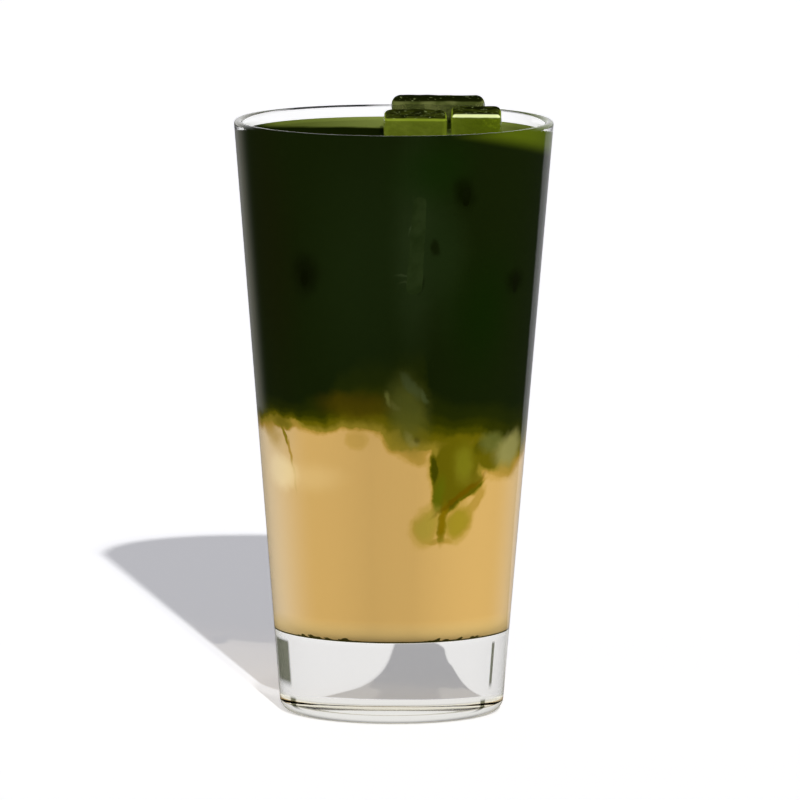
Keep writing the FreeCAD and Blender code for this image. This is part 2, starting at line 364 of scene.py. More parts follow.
def select_only(piece):
    if bpy.context.object and bpy.context.object.mode == "EDIT":
        bpy.ops.object.mode_set(mode="OBJECT")
    bpy.ops.object.select_all(action="DESELECT")
    piece.select_set(True)
    bpy.context.view_layer.objects.active = piece


def pick(piece, kind, test):
    """Enters edit mode with only the faces selected whose centre and normal pass the test, or only the
    edges whose two ends do."""
    select_only(piece)
    bpy.ops.object.mode_set(mode="EDIT")
    bpy.ops.mesh.select_mode(type=kind)
    bpy.ops.mesh.select_all(action="DESELECT")
    bpy.ops.object.mode_set(mode="OBJECT")
    if kind == "FACE":
        for face in piece.data.polygons:
            face.select = test(face.center, face.normal)
    else:
        for edge in piece.data.edges:
            edge.select = test(*(piece.data.vertices[i].co for i in edge.vertices))
    bpy.ops.object.mode_set(mode="EDIT")


def finish_modifiers(piece):
    """Applies a piece's modifiers in their order."""
    select_only(piece)
    for modifier in list(piece.modifiers):
        bpy.ops.object.modifier_apply(modifier=modifier.name)


def settle(piece, material, slot, *nodes):
    """Smooths a finished piece, gives it its material, hangs it on the root body and hides the frame's
    nodes it stands for.
    """
    select_only(piece)
    bpy.ops.object.shade_smooth_by_angle(angle=SMOOTH_UNDER)
    even = piece.modifiers.new("normals", "WEIGHTED_NORMAL")
    even.keep_sharp = True
    even.weight = LARGE_FACE_WEIGHT
    finish_modifiers(piece)
    piece.data.materials.clear()
    piece.data.materials.append(material)
    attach(piece, "root")
    if nodes:
        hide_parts(*nodes)
    print(f"{piece.name}: {len(piece.data.polygons)} faces,",
          "box in mm", [round(v / MM, 1) for v in piece.dimensions])


# %% [markdown]
# ## The glass
# The tumbler is pressed in a mould: a straight flaring wall, thin at the lip and thicker at the base, a
# floor as thick as a thumb, a rounded heel and a shallow punt below. The frame's own mesh is made of
# long slivers, which show in bent light, so the glass is modelled again with an even ring of faces. A
# profile could be spun round the axis, but a cylinder keeps each ring of edges easy to find: its top is
# widened, inset by the wall and pushed down to the floor, and its corners are bevelled round.

# %% Tumbler sizes
SIDES = 192
WETTING_GAP = 0.1 * MM
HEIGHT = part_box("glass")[1].z
FLOOR_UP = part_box("lemonade")[0].z - WETTING_GAP
FOOT_RADIUS = 29 * MM
MOUTH_RADIUS = 41.7 * MM
RIM_WALL = 2.2 * MM
RIM_ROUND = 1.03 * MM
BASE_WALL = 3 * MM
FLOOR_ROUND = 6 * MM
HEEL_ROUND = 3 * MM
FOOT_RING = 5 * MM
PUNT_DEPTH = 1.4 * MM
PUNT_RINGS = 8
NEAR = 0.05 * MM
FACES_UP = 0.99
FACES_DOWN = -0.999
MOUTH_BORE = MOUTH_RADIUS - RIM_WALL
FLOOR_RADIUS = FOOT_RADIUS + (MOUTH_RADIUS - FOOT_RADIUS) * FLOOR_UP / HEIGHT - BASE_WALL
print("glass: height", round(HEIGHT / MM, 2), "mm, floor at", round(FLOOR_UP / MM, 2), "mm,",
      "bore at the floor", round(FLOOR_RADIUS / MM, 2), "mm")


def bore(height):
    """The inner radius of the glass at a height."""
    share = (height - FLOOR_UP) / (HEIGHT - FLOOR_UP)
    return FLOOR_RADIUS + (MOUTH_BORE - FLOOR_RADIUS) * share


def cone(name, low, high, low_radius, high_radius):
    """A solid frustum on the Z axis, with its top face left selected in edit mode."""
    bpy.ops.object.select_all(action="DESELECT")
    middle = (0, 0, (low + high) / 2)
    depth = high - low
    bpy.ops.mesh.primitive_cylinder_add(vertices=SIDES, radius=low_radius, depth=depth, location=middle)
    piece = bpy.context.object
    piece.name = name
    bpy.ops.object.transform_apply(location=True)
    pick(piece, "FACE", lambda centre, normal: normal.z > FACES_UP)
    widen(high_radius / low_radius)
    return piece


def widen(share):
    """Scales the selection about the Z axis."""
    bpy.ops.transform.resize(value=(share, share, 1), center_override=(0, 0, 0))


def on_ring(height, radius):
    """A test for edges of the ring at a height and radius."""
    def test(*ends):
        return all(abs(p.z - height) < NEAR and abs(p.to_2d().length - radius) < NEAR for p in ends)
    return test


def round_ring(piece, height, radius, by, steps):
    """Bevels a ring of edges round."""
    pick(piece, "EDGE", on_ring(height, radius))
    bpy.ops.mesh.bevel(offset=by, segments=steps, affect="EDGES")


def sink_rings(radius, rings, height_at):
    """Insets the selected face in rings towards the axis, each at the height that height_at gives."""
    step = radius / rings
    last = height_at(radius)
    for ring in range(1, rings):
        bpy.ops.mesh.inset(thickness=step)
        height = height_at(radius - ring * step)
        bpy.ops.transform.translate(value=(0, 0, height - last))
        last = height


# %% Tumbler
FLOOR_STEPS = 10
RIM_STEPS = 6
HEEL_STEPS = 8


def make_tumbler():
    tumbler = cone("tumbler", 0, HEIGHT, FOOT_RADIUS, MOUTH_RADIUS)
    bpy.ops.mesh.inset(thickness=RIM_WALL)
    down = {"value": (0, 0, FLOOR_UP - HEIGHT)}
    bpy.ops.mesh.extrude_region_move(TRANSFORM_OT_translate=down)
    widen(FLOOR_RADIUS / MOUTH_BORE)
    round_ring(tumbler, FLOOR_UP, FLOOR_RADIUS, FLOOR_ROUND, FLOOR_STEPS)
    round_ring(tumbler, HEIGHT, MOUTH_RADIUS, RIM_ROUND, RIM_STEPS)
    round_ring(tumbler, HEIGHT, MOUTH_BORE, RIM_ROUND, RIM_STEPS)
    round_ring(tumbler, 0, FOOT_RADIUS, HEEL_ROUND, HEEL_STEPS)
    pick(tumbler, "FACE", lambda centre, normal: normal.z < FACES_DOWN and centre.z < NEAR)
    bpy.ops.mesh.inset(thickness=FOOT_RING)
    punt = FOOT_RADIUS - HEEL_ROUND - FOOT_RING
    dome = (punt ** 2 + PUNT_DEPTH ** 2) / 2 / PUNT_DEPTH
    sink_rings(punt, PUNT_RINGS, lambda r: PUNT_DEPTH - dome + math.sqrt(dome ** 2 - r ** 2))
    return tumbler


tumbler = make_tumbler()
print("tumbler:", len(tumbler.data.vertices), "points before it is settled")

# %% [markdown]
# ## Clear glass
# Clear glass bends light by 1.5. It shows the set at its edges, and hardly mirrors what is in front of it,
# so that the dark drink stays deep: the tint on the specular does that, and leaves the glancing mirror at
# the sides. A lamp would be blocked by bent rays, so a shadow ray passes straight through and only loses a
# little at each face. A pressed base also gathers dark lines where it looks into the darker parts of a
# room, and so does the back of the rim. The plain white set has nothing dark to show there, so those dark
# refractions are painted into the glass's colour, by how steeply the wall turns from the eye or by their
# place on the rim.

# %% Clear glass
GLASS_BEND = 1.5
GLASS_PASS = 0.94
BASE_PASS = 0.6
BASE_PASS_FROM = 24.0
BASE_PASS_FULL = 16.0
GLASS_WAVE = 0.04
GLASS_WAVE_DEPTH = 0.004
WALL_TINT = paint(253, 253, 251)
BASE_TINT = paint(231, 230, 226)
BASE_TINT_FROM = 23.0
BASE_TINT_FULL = 20.0
BASE_DARK_REFRACTION = paint(58, 60, 44)
RIM_LINE = paint(10, 10, 10)
# how far the wall turns from the eye, from 0 to 1: where a painted dark refraction starts, where it is
# full, and its far side
MARK_LEFT = (0.53, 0.57, 0.8, 0.95)
MARK_RIGHT = (0.5, 0.51, 0.54, 0.55)
HEEL_MARK_LEFT = (0.48, 0.51, 0.57, 0.6)
HEEL_MARK_RIGHT = (0.4, 0.42, 0.46, 0.48)
# heights in mm: where a band of painted refractions starts, where it is full, and its top
MARK_BAND = (7.0, 9.5, 19.5, 20.5)
HEEL_BAND = (1.8, 2.8, 4.6, 5.6)
# the painted dark refraction line at the back of the rim, in mm: where it starts and is full going up, back
# and outwards, and where across it is darkest
RIM_LINE_UP = (153.9, 154.2)
RIM_LINE_BACK = (14.0, 26.0)
RIM_LINE_OUT = (39.55, 39.7)
RIM_LINE_DARKEST = (-33.0, -26.0, -8.0, 0.0)
RIM_LINE_PALEST = 0.45


def lets_lamps_through(tree, shader, tint):
    """Lets lamp rays, and rays that left a matt surface, pass straight through a clear shader."""
    path = tree.add("LightPath").outputs
    straight = tree.math("MAXIMUM", path["Is Shadow Ray"], path["Is Diffuse Ray"])
    clear = tree.add("BsdfTransparent", {"Color": tint}).outputs[0]
    return tree.add("MixShader", {0: straight, 1: shader, 2: clear}).outputs[0]


def base_dark_refractions(tree, x, height):
    """How dark the painted refractions at the base's edges are: a pair up the sides of the base and a pair
    at the heel.
    """
    turned = tree.add("LayerWeight", {"Blend": 0.5}).outputs["Facing"]
    side, heel = (
        tree.by_side(x, tree.between(turned, *left), tree.between(turned, *right))
        for left, right in ((MARK_LEFT, MARK_RIGHT), (HEEL_MARK_LEFT, HEEL_MARK_RIGHT))
    )
    side = tree.math("MULTIPLY", side, tree.between(height, *MARK_BAND))
    heel = tree.math("MULTIPLY", heel, tree.between(height, *HEEL_BAND))
    return tree.math("MAXIMUM", side, heel)


def rim_line(tree, x, y, height):
    """How dark the painted refraction line round the back of the rim is, darkest towards the left."""
    flat = tree.add("CombineXYZ", {0: x, 1: y}).outputs[0]
    radius = tree.add("VectorMath", {0: flat}, operation="LENGTH").outputs["Value"]
    line = tree.math("MULTIPLY", tree.step(height, *RIM_LINE_UP), tree.step(y, *RIM_LINE_BACK))
    line = tree.math("MULTIPLY", line, tree.step(radius, *RIM_LINE_OUT))
    dark = tree.between(x, *RIM_LINE_DARKEST)
    dark = tree.math("MULTIPLY_ADD", dark, 1 - RIM_LINE_PALEST, RIM_LINE_PALEST)
    return tree.math("MULTIPLY", line, dark)


def clear_glass():
    material, tree, surface = new_material("clear_tumbler_glass")
    place = object_place(tree)
    x, y, height = tree.add("SeparateXYZ", {0: place}).outputs
    waves = tree.noise(place, GLASS_WAVE, 1.0)
    bump = {"Strength": GLASS_WAVE_DEPTH, "Distance": 1.0, "Height": waves}
    direct = tree.add("LightPath").outputs["Is Camera Ray"]
    colour = tree.mix(tree.step(height, BASE_TINT_FROM, BASE_TINT_FULL), WALL_TINT, BASE_TINT)
    marks = tree.math("MULTIPLY", direct, base_dark_refractions(tree, x, height))
    colour = tree.mix(marks, colour, BASE_DARK_REFRACTION)
    line = tree.math("MULTIPLY", direct, rim_line(tree, x, y, height))
    colour = tree.mix(line, colour, RIM_LINE)
    glass = principled(tree, {
        "Base Color": colour,
        "Roughness": 0.0,
        "IOR": GLASS_BEND,
        "Transmission Weight": 1.0,
        "Specular Tint": (0, 0, 0, 1),
        "Normal": tree.add("Bump", bump).outputs[0],
    })
    thick = (BASE_PASS, BASE_PASS, BASE_PASS, 1)
    thin = (GLASS_PASS, GLASS_PASS, GLASS_PASS, 1)
    tint = tree.mix(tree.step(height, BASE_PASS_FULL, BASE_PASS_FROM), thick, thin)
    tree.feed(surface, lets_lamps_through(tree, glass, tint))
    return material


settle(tumbler, clear_glass(), "clear_glass", "glass")

# %% [markdown]
# ## Where a point is on the wall
# The drink is seen through the wall, so its colours are laid out round that wall: by the angle from the
# front towards the right, and by the height. A soft patch is the brush for all of them, an ellipse on the
# wall with its own size, lean and softness. Both are node groups, made once and placed with new values. An
# image could be wrapped round the drink instead, but a patch stays sharp at any size and is easily moved.

# %% Wall place and soft patch
def wall_place_group():
    outputs = {"Angle": "Float", "Height": "Float", "Wall": "Vector"}
    group, tree, entry, leave = new_group("wall place", {"Place": "Vector"}, outputs)
    x, y, z = tree.add("SeparateXYZ", {0: entry["Place"]}).outputs
    angle = tree.math("DEGREES", tree.math("ARCTAN2", x, tree.math("MULTIPLY", y, -1.0)))
    tree.feed(leave.inputs["Angle"], angle)
    tree.feed(leave.inputs["Height"], z)
    tree.feed(leave.inputs["Wall"], tree.add("CombineXYZ", {0: angle, 1: z}).outputs[0])
    return group


def soft_patch_group():
    inputs = {"Wall": "Vector", "Middle": "Vector", "Across": "Vector", "Up": "Vector"}
    inputs.update({"Outer": "Float", "Inner": "Float"})
    group, tree, entry, leave = new_group("soft patch", inputs, {"Mask": "Float"})
    away = tree.vector("SUBTRACT", entry["Wall"], entry["Middle"])
    across, up = (
        tree.add("VectorMath", {0: away, 1: entry[way]}, operation="DOT_PRODUCT").outputs["Value"]
        for way in ("Across", "Up")
    )
    flat = tree.add("CombineXYZ", {0: across, 1: up}).outputs[0]
    away = tree.add("VectorMath", {0: flat}, operation="LENGTH").outputs["Value"]
    ends = {"Value": away, "From Min": entry["Outer"], "From Max": entry["Inner"]}
    mask = tree.add("MapRange", ends, interpolation_type="SMOOTHSTEP").outputs[0]
    tree.feed(leave.inputs["Mask"], mask)
    return group


WALL_PLACE = wall_place_group()
SOFT_PATCH = soft_patch_group()


def patch(tree, wall, angle, height, width, tall, lean=0.0, soft=0.5):
    """A soft patch on the wall: angle in degrees, the rest in millimetres."""
    a_degree = math.radians(1) * bore(height * MM) / MM
    return place_group(tree, SOFT_PATCH, {
        "Wall": wall["Wall"],
        "Middle": (angle, height, 0),
        "Across": (a_degree * 2 / width, -lean * 2 / width, 0),
        "Up": (0, 2 / tall, 0),
        "Outer": 1 + soft,
        "Inner": 1 - soft,
    })["Mask"]


# %% [markdown]
# ## The drink's colours
# Matcha is nearly black in the mass, olive where it thins, and the lemonade is a cloudy straw yellow. One
# number stands for how much matcha there is: under -3 it is lemonade, 0 is half and half, and over 7 it is
# all matcha. A ramp turns it into colour, so every drip passes through the same browns and olives as a
# real one does. Mixing two plain colours would be simpler, but it would leave those browns out. The blend
# line has its own height and softness at each angle round the glass.

# %% Blend line
BLEND_STOPS = [
    (-3.0, paint(208, 169, 99)),
    (-2.0, paint(198, 160, 83)),
    (-1.0, paint(178, 143, 60)),
    (0.0, paint(140, 122, 34)),
    (1.0, paint(98, 90, 7)),
    (2.0, paint(66, 66, 2)),
    (3.0, paint(44, 48, 2)),
    (4.5, paint(30, 37, 4)),
    (7.0, paint(19, 28, 5)),
]
# angle from the front: height of the line, softness above it, softness below it
BLEND_LINE = {
    -180: (77.0, 2.4, 1.5),
    -100: (76.0, 2.0, 1.5),
    -72: (77.6, 1.1, 1.5),
    -60: (79.0, 0.9, 1.1),
    -50: (79.2, 0.8, 0.8),
    -44: (78.4, 1.0, 0.7),
    -39: (77.2, 1.4, 0.5),
    -32: (76.7, 1.5, 0.45),
    -27: (77.4, 1.9, 0.45),
    -23: (78.6, 2.3, 0.5),
    -14: (78.5, 2.8, 0.6),
    -6: (77.8, 3.0, 0.8),
    -1: (75.0, 3.4, 1.3),
    5: (73.2, 4.0, 1.5),
    12: (72.2, 4.2, 1.2),
    17: (73.0, 2.4, 0.8),
    30: (73.4, 1.8, 0.9),
    43: (73.2, 1.8, 0.8),
    51: (71.0, 2.1, 0.8),
    62: (68.8, 2.1, 1.1),
    74: (68.6, 2.2, 1.3),
    100: (75.0, 2.4, 1.5),
    180: (77.0, 2.4, 1.5),
}
LINE_LOW = 60.0
LINE_SPAN = 25.0
SOFT_SPAN = 5.0


def blend_line_group():
    """The blend line's height and its softness above and below, by the angle round the glass."""
    outputs = {"Height": "Float", "Above": "Float", "Below": "Float"}
    group, tree, entry, leave = new_group("blend line", {"Angle": "Float"}, outputs)
    turn = tree.math("MULTIPLY_ADD", entry["Angle"], 1 / 360, 0.5)
    stops = [
        ((angle + 180) / 360, ((height - LINE_LOW) / LINE_SPAN, above / SOFT_SPAN, below / SOFT_SPAN, 1))
        for angle, (height, above, below) in BLEND_LINE.items()
    ]
    height, above, below = tree.add("SeparateColor", {0: tree.ramp(turn, stops)}).outputs
    tree.feed(leave.inputs["Height"], tree.math("MULTIPLY_ADD", height, LINE_SPAN, LINE_LOW))
    tree.feed(leave.inputs["Above"], tree.math("MULTIPLY", above, SOFT_SPAN))
    tree.feed(leave.inputs["Below"], tree.math("MULTIPLY", below, SOFT_SPAN))
    return group


BLEND = blend_line_group()
line_heights = [height for height, above, below in BLEND_LINE.values()]
print("blend line: from", min(line_heights), "to", max(line_heights), "mm up")

# %% [markdown]
# ## Drips and veils
# A big drip hangs at the front right, with a stem and two lobes at its foot. A wisp falls at the left, and
# a haze and a veil lie at the sides. Each is a soft patch that pulls the amount of matcha towards its own.
# They could be modelled, but they are too cloudy to have a surface. A second list lays colour on top, for
# what isn't on the ramp: pale veils, painted light at the left, painted glints, and the ice that shows
# through the matcha.

# %% Patches on the wall
# name: (angle, height, width, tall, lean, softness, amount of matcha, strength)
DRIPS = {
    "back_drip": (150, 67, 13, 26, 0.1, 0.3, 1.2, 1.0),
    "back_drip_tip": (153, 54, 7, 12, 0.0, 0.4, -0.4, 0.9),
    "far_drip": (-155, 70, 11, 20, -0.1, 0.35, 1.1, 1.0),
    "side_drip": (-100, 70, 8, 18, 0.1, 0.4, 0.9, 0.9),
    "right_drip": (104, 69, 10, 18, 0.0, 0.4, 1.0, 0.9),
    "peach": (-17, 75.0, 6.4, 4.6, 0.0, 0.4, -1.35, 0.8),
    "straw": (-48.5, 78.6, 5.6, 2.4, -0.4, 0.5, -0.6, 0.9),
    "left_haze": (-65, 74.4, 10.0, 8.0, 0.0, 0.9, -0.7, 0.8),
    "left_olive": (-57, 78.2, 7.0, 3.2, -0.6, 0.5, 0.6, 0.9),
    "centre_fall": (1.5, 75.2, 3.2, 6.0, 0.1, 0.5, 0.3, 0.8),
    "centre_foot": (11, 70.4, 5.2, 4.2, -0.3, 0.5, -0.6, 0.9),
    "body": (30, 66.8, 14.8, 17.5, 0.05, 0.24, 1.05, 1.0),
    "body_low": (24.6, 60.0, 7.6, 9.5, 0.05, 0.25, 1.0, 1.0),
    "shoulder": (41, 63.2, 6.0, 6.2, 0.2, 0.35, 0.8, 0.9),
    "dark_side": (18.6, 67.0, 1.9, 8.5, 0.0, 0.5, 2.2, 0.9),
    "light_heart": (34, 67.4, 6.0, 8.5, 0.0, 0.7, 0.6, 0.95),
    "brown_band": (35.5, 59.9, 2.4, 7.6, 1.5, 0.5, 1.35, 0.9),
    "dark_notch": (28.5, 57.6, 3.2, 3.2, 0.3, 0.5, 1.6, 0.8),
    "right_lobe": (32.4, 52.8, 8.0, 8.6, 0.3, 0.45, -0.35, 1.0),
    "lobe_rise": (42.5, 58.4, 3.6, 7.4, 0.7, 0.45, -0.85, 0.9),
    "left_lobe": (16.6, 52.4, 7.4, 10.4, 0.15, 0.5, -0.75, 1.0),
    "lobe_foot": (22.5, 47.9, 7.0, 1.5, 0.0, 0.6, -0.3, 0.8),
    "stem": (24.3, 52.8, 2.1, 10.5, 0.06, 0.45, 0.75, 1.0),
    "shoulder_top": (42.5, 72.2, 4.8, 4.6, 0.0, 0.4, 1.6, 0.95),
    "right_dark": (49.5, 69.0, 9.5, 6.4, -0.2, 0.4, 1.3, 0.95),
    "veil_skirt": (62, 65.8, 13.0, 5.2, 0.0, 0.7, 0.2, 0.75),
    "wisp_top": (-55.5, 75.0, 1.5, 4.6, -0.55, 0.5, 0.4, 0.9),
    "wisp": (-52, 70.6, 1.2, 8.0, -0.12, 0.5, -0.55, 0.9),
    "wisp_end": (-51, 64.6, 0.8, 8.0, 0.0, 0.5, -1.2, 0.8),
}
# name: (angle, height, width, tall, lean, softness, colour, strength)
VEILS = {
    "brown_zone": (-16, 84.2, 17.0, 6.5, 0.0, 0.6, paint(74, 60, 4), 0.7),
    "right_lobe_tone": (32.6, 52.8, 6.2, 7.8, 0.3, 0.6, paint(158, 138, 32), 0.8),
    "left_lobe_tone": (16.6, 52.6, 5.8, 9.0, 0.15, 0.6, paint(167, 148, 54), 0.75),
    "stem_tone": (24.4, 53.0, 1.9, 9.5, 0.06, 0.5, paint(130, 104, 2), 0.85),
    "brown_tone": (33.5, 60.4, 2.6, 9.0, 1.4, 0.6, paint(102, 78, 0), 0.85),
    "heart_tone": (34, 68.4, 5.4, 8.6, 0.0, 0.7, paint(117, 114, 20), 0.9),
    "green_side": (21.5, 60.5, 2.8, 8.0, 0.1, 0.7, paint(92, 98, 8), 0.8),
    "centre_veil": (7, 82.5, 9.5, 17.0, -0.1, 0.6, paint(90, 92, 36), 0.55),
    "veil_low": (50, 73.6, 8.0, 5.2, 0.0, 0.5, paint(94, 98, 42), 0.8),
    "pale_veil": (63.5, 70.8, 11.5, 7.8, 0.3, 0.5, paint(142, 138, 78), 0.92),
    # painted light on the lemonade at the left
    "left_glow": (-61, 65.3, 12.0, 8.0, 0.0, 0.5, paint(240, 215, 155), 0.9),
    "left_glow_low": (-40, 64.4, 15.0, 6.4, 0.0, 0.8, paint(224, 190, 124), 0.55),
    "ice_arc": (8.5, 89.8, 3.6, 5.6, -0.6, 0.5, paint(68, 78, 46), 0.5),
    "ice_arc_low": (14, 87.2, 1.4, 3.2, -0.4, 0.5, paint(74, 84, 48), 0.5),
    # the glint patches are painted highlights
    "glint_high": (-2, 86.2, 1.0, 3.0, -0.1, 0.8, paint(110, 112, 54), 0.6),
    "glint_foot": (0.8, 84.6, 2.0, 2.0, -0.6, 0.8, paint(94, 94, 44), 0.5),
    "glint_fall": (7.5, 75.8, 2.0, 3.4, -0.1, 0.8, paint(126, 122, 62), 0.5),
    "glint_low": (9.8, 74.0, 2.4, 2.0, 0.2, 0.8, paint(130, 124, 64), 0.5),
    "dark_dot": (11.4, 75.0, 1.5, 1.6, 0.0, 0.7, paint(66, 62, 14), 0.6),
    "left_brown": (-58, 122, 16.0, 66, 0.0, 0.9, paint(21, 23, 4), 0.7),
    "middle_green": (-9, 122, 24.0, 56, 0.05, 0.9, paint(27, 39, 14), 0.6),
    "ice_zone": (9, 128, 9.0, 44, 0.0, 0.9, paint(38, 50, 24), 0.6),
    "ice_zone_right": (20, 124, 10.0, 30, -0.1, 0.9, paint(28, 41, 15), 0.7),
    "right_green": (40, 108, 16.0, 26, 0.1, 0.9, paint(13, 30, 2), 0.7),
    "high_green": (16, 146, 16.0, 14, 0.2, 0.9, paint(17, 36, 4), 0.7),
    "dark_left": (-37, 118, 7.0, 10.0, 0.1, 0.7, paint(11, 15, 2), 0.85),
    "dark_high": (29, 139.5, 5.0, 7.0, -0.2, 0.7, paint(10, 16, 1), 0.85),
    "dark_right": (57, 115.5, 6.0, 5.0, 0.0, 0.7, paint(10, 16, 1), 0.85),
    "dark_chip": (17, 125.5, 1.8, 3.6, -0.1, 0.6, paint(14, 20, 3), 0.8),
    "dark_chip_low": (11.5, 116, 1.4, 4.0, 0.1, 0.6, paint(18, 26, 6), 0.7),
    "streak": (7, 133.5, 0.7, 7.0, 0.0, 0.6, paint(56, 68, 40), 0.6),
    "streak_right": (10.5, 133.5, 0.6, 6.0, 0.0, 0.6, paint(54, 66, 38), 0.6),
    "scratch": (6, 118.5, 5.0, 0.6, 0.0, 0.6, paint(52, 63, 36), 0.6),
    "scratch_low": (6, 117, 4.0, 0.5, 0.0, 0.6, paint(50, 60, 34), 0.5),
}
print("patches on the wall:", len(DRIPS), "drips and", len(VEILS), "veils")

# %% [markdown]
# ## The drink's colour
# Both layers share one node group for their colour, so that it runs on over the seam between them. First
# the place is stirred: three sizes of noise move it a little, and every edge comes out cloudy. Next come
# the amount of matcha, its colour and the veils. Last comes painted light at the wall, which isn't
# stirred: pale sides, a grey reflection at the left, sunlit matcha below the rim at the right, and a
# lighter foot. The foot ends in a dark, ragged line. Light scattered inside the drink could give the sides
# and the foot by itself, but it renders slowly and is hard to steer.

# %% Drink colour
# how fine each swirl is, and how far it moves a place in mm
SWIRLS = ((0.08, 2.6), (0.3, 1.7), (0.95, 0.7))
# amounts of matcha: where it starts to be lemonade and where it is, and the same for matcha
LEMONADE_AMOUNT = (-0.5, -2.2)
MATCHA_AMOUNT = (1.0, 3.0)
# the painted light on the sides: the angle where each starts, the angle where it is full, and its strength
# at both
SIDE_LIGHT = paint(236, 214, 176)
SIDE_LEFT = (-38.0, -84.0, 0.0, 0.9)
SIDE_RIGHT = (54.0, 86.0, 0.0, 0.55)
# a painted grey reflection of the glass's edge on the matcha at the left
PAINTED_GREY_REFLECTION = paint(112, 112, 100)
PAINTED_GREY_REFLECTION_ANGLES = (-64.0, -82.0)
# the painted sunlight on the matcha below the rim: its edge leans by so many mm a degree
LIT_WALL = paint(80, 94, 14)
LIT_LEAN = 0.132
LIT_HEIGHTS = (156.5, 160.7)
LIT_ANGLES = (16.0, 26.0)
# the foot: heights in mm, angles in degrees, and the painted light's strength at its two heights
FLOOR_TOP = FLOOR_UP / MM
FOOT_LIGHT = paint(246, 214, 140)
FOOT_LIGHT_HEIGHTS = (28.0, 22.5, 0.0, 0.6)
FOOT_LINE = paint(78, 72, 28)
FOOT_LINE_TOP = FLOOR_TOP + 0.5
SPECK_ANGLES = (16.0, 26.0, 54.0, 64.0)
SPECK_GRAIN = 0.55
SPECK_FROM = 0.44
SPECK_RISE = 3.0


def stir(tree, place):
    """Moves a place about, so that what is laid out by it has cloudy edges."""
    stirred = place
    for fineness, reach in SWIRLS:
        swirl = tree.vector("SUBTRACT", tree.noise(place, fineness, 1.0, "Color"), (0.5, 0.5, 0.5))
        stirred = tree.vector("ADD", stirred, tree.scaled(swirl, reach))
    return stirred


def matcha_amount(tree, wall):
    """How much matcha there is on the wall: the blend line gives it, and each drip pulls it its way."""
    line = place_group(tree, BLEND, {"Angle": wall["Angle"]})
    rise = tree.math("SUBTRACT", wall["Height"], line["Height"])
    above = tree.math("DIVIDE", tree.math("MAXIMUM", rise, 0.0), line["Above"])
    below = tree.math("DIVIDE", tree.math("MINIMUM", rise, 0.0), line["Below"])
    amount = tree.math("MAXIMUM", tree.math("ADD", above, below), BLEND_STOPS[0][0])
    for *shape, level, strength in DRIPS.values():
        mask = tree.math("MULTIPLY", patch(tree, wall, *shape), strength)
        pull = tree.math("MULTIPLY", tree.math("SUBTRACT", level, amount), mask)
        amount = tree.math("ADD", amount, pull)
    return amount


def blend_colour(tree, wall, amount):
    """The colour of an amount of matcha, with the veils laid over it."""
    first, last = BLEND_STOPS[0][0], BLEND_STOPS[-1][0]
    stops = [((level - first) / (last - first), tone) for level, tone in BLEND_STOPS]
    share = tree.math("DIVIDE", tree.math("SUBTRACT", amount, first), last - first)
    colour = tree.ramp(share, stops)
    for *shape, tone, strength in VEILS.values():
        mask = tree.math("MULTIPLY", patch(tree, wall, *shape), strength)
        colour = tree.mix(mask, colour, tone)
    return colour


def light_the_sides(tree, colour, amount, wall):
    """Paints light on the lemonade at both sides, a grey reflection on the matcha at the left, and sunlight
    on the matcha below the rim.
    """
    angle = wall["Angle"]
    aside = tree.math("MAXIMUM", tree.step(angle, *SIDE_LEFT), tree.step(angle, *SIDE_RIGHT))
    aside = tree.math("MULTIPLY", aside, tree.step(amount, *LEMONADE_AMOUNT))
    colour = tree.mix(aside, colour, SIDE_LIGHT)
    grey = tree.math("POWER", tree.step(angle, *PAINTED_GREY_REFLECTION_ANGLES), 2.0)
    grey = tree.math("MULTIPLY", grey, tree.step(amount, *MATCHA_AMOUNT))
    colour = tree.mix(grey, colour, PAINTED_GREY_REFLECTION)
    edge = tree.math("MULTIPLY_ADD", angle, LIT_LEAN, wall["Height"])
    lit = tree.math("MULTIPLY", tree.step(edge, *LIT_HEIGHTS), tree.step(angle, *LIT_ANGLES))
    return tree.mix(lit, colour, LIT_WALL)


def line_the_foot(tree, colour, wall, place):
    """Paints light on the foot, and ends it in a dark line with specks that rise from it at each side."""
    colour = tree.mix(tree.step(wall["Height"], *FOOT_LIGHT_HEIGHTS), colour, FOOT_LIGHT)
    corner = tree.between(tree.math("ABSOLUTE", wall["Angle"]), *SPECK_ANGLES)
    speck = tree.math("SUBTRACT", tree.noise(place, SPECK_GRAIN, 1.0), SPECK_FROM)
    speck = tree.math("MULTIPLY", tree.math("MAXIMUM", speck, 0.0), corner)
    ragged = tree.math("MULTIPLY_ADD", speck, SPECK_RISE, FOOT_LINE_TOP)
    return tree.mix(tree.math("LESS_THAN", wall["Height"], ragged), colour, FOOT_LINE)


def drink_colour_group():
    group, tree, entry, leave = new_group("drink colour", {"Place": "Vector"}, {"Color": "Color"})
    place = entry["Place"]
    stirred = place_group(tree, WALL_PLACE, {"Place": stir(tree, place)})
    wall = place_group(tree, WALL_PLACE, {"Place": place})
    amount = matcha_amount(tree, stirred)
    colour = blend_colour(tree, stirred, amount)
    colour = light_the_sides(tree, colour, amount, wall)
    tree.feed(leave.inputs["Color"], line_the_foot(tree, colour, wall, place))
    return group


DRINK_COLOUR = drink_colour_group()
print("drink colour:", len(DRINK_COLOUR.nodes), "nodes")

# %% [markdown]
# ## The drink's finish
# The drink is matt here, because its gloss is the glass's. Light that enters its lower part comes out again
# on the far side, so a lamp ray passes through there, and the shadow is paler near the glass. The base
# shows the drink from below, all pale, so its underside glows with one pale painted light, and so does its
# foot to a ray that has already bounced inside the glass. That painted light is emission, which stays even
# at any slant. A lamp below could do it too, but it would also light the floor. The emission is kept from
# acting as a lamp.

# %% Drink material
DRINK_PASS = (0.58, 0.55, 0.5, 1)
# heights in mm, from where lamp rays pass through to where none do
DRINK_PASS_HEIGHTS = (66.0, 100.0)
